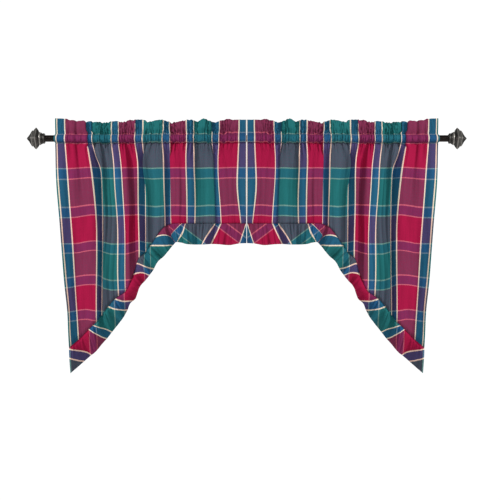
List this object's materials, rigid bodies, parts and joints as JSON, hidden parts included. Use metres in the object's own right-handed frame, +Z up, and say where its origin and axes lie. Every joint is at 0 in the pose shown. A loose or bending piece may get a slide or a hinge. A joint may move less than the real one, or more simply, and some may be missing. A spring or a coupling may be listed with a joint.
{
  "type": "swag and tail drape with rod",
  "caption": "Gathered plaid swag and tail drape with a ruffled heading and a ruffle along its lower edge, hung by its rod pocket on a round metal rod with square finials.",
  "frame": {"origin": "on the rod's axis, halfway along it, between the two panels", "axes": "+X along the rod to the right as seen from the room, +Z up, and the front of the cloth faces -Y"},
  "size_m": [1.597, 0.078, 0.9234],
  "materials": {
    "panel_plaid": "woven cotton plaid of crimson, green and blue bands with cream lines",
    "ruffle_plaid": "the same woven cotton plaid, gathered",
    "rod_metal": "dark bronze, satin",
    "finial_metal": "dark pewter, brushed on its raised edges"
  },
  "bodies": {
    "root": {"panel_left": "panel_plaid", "panel_right": "panel_plaid", "ruffle_left": "ruffle_plaid", "ruffle_right": "ruffle_plaid", "rod": "rod_metal", "finial_left": "finial_metal", "finial_right": "finial_metal"}
  },
  "joints": []
}
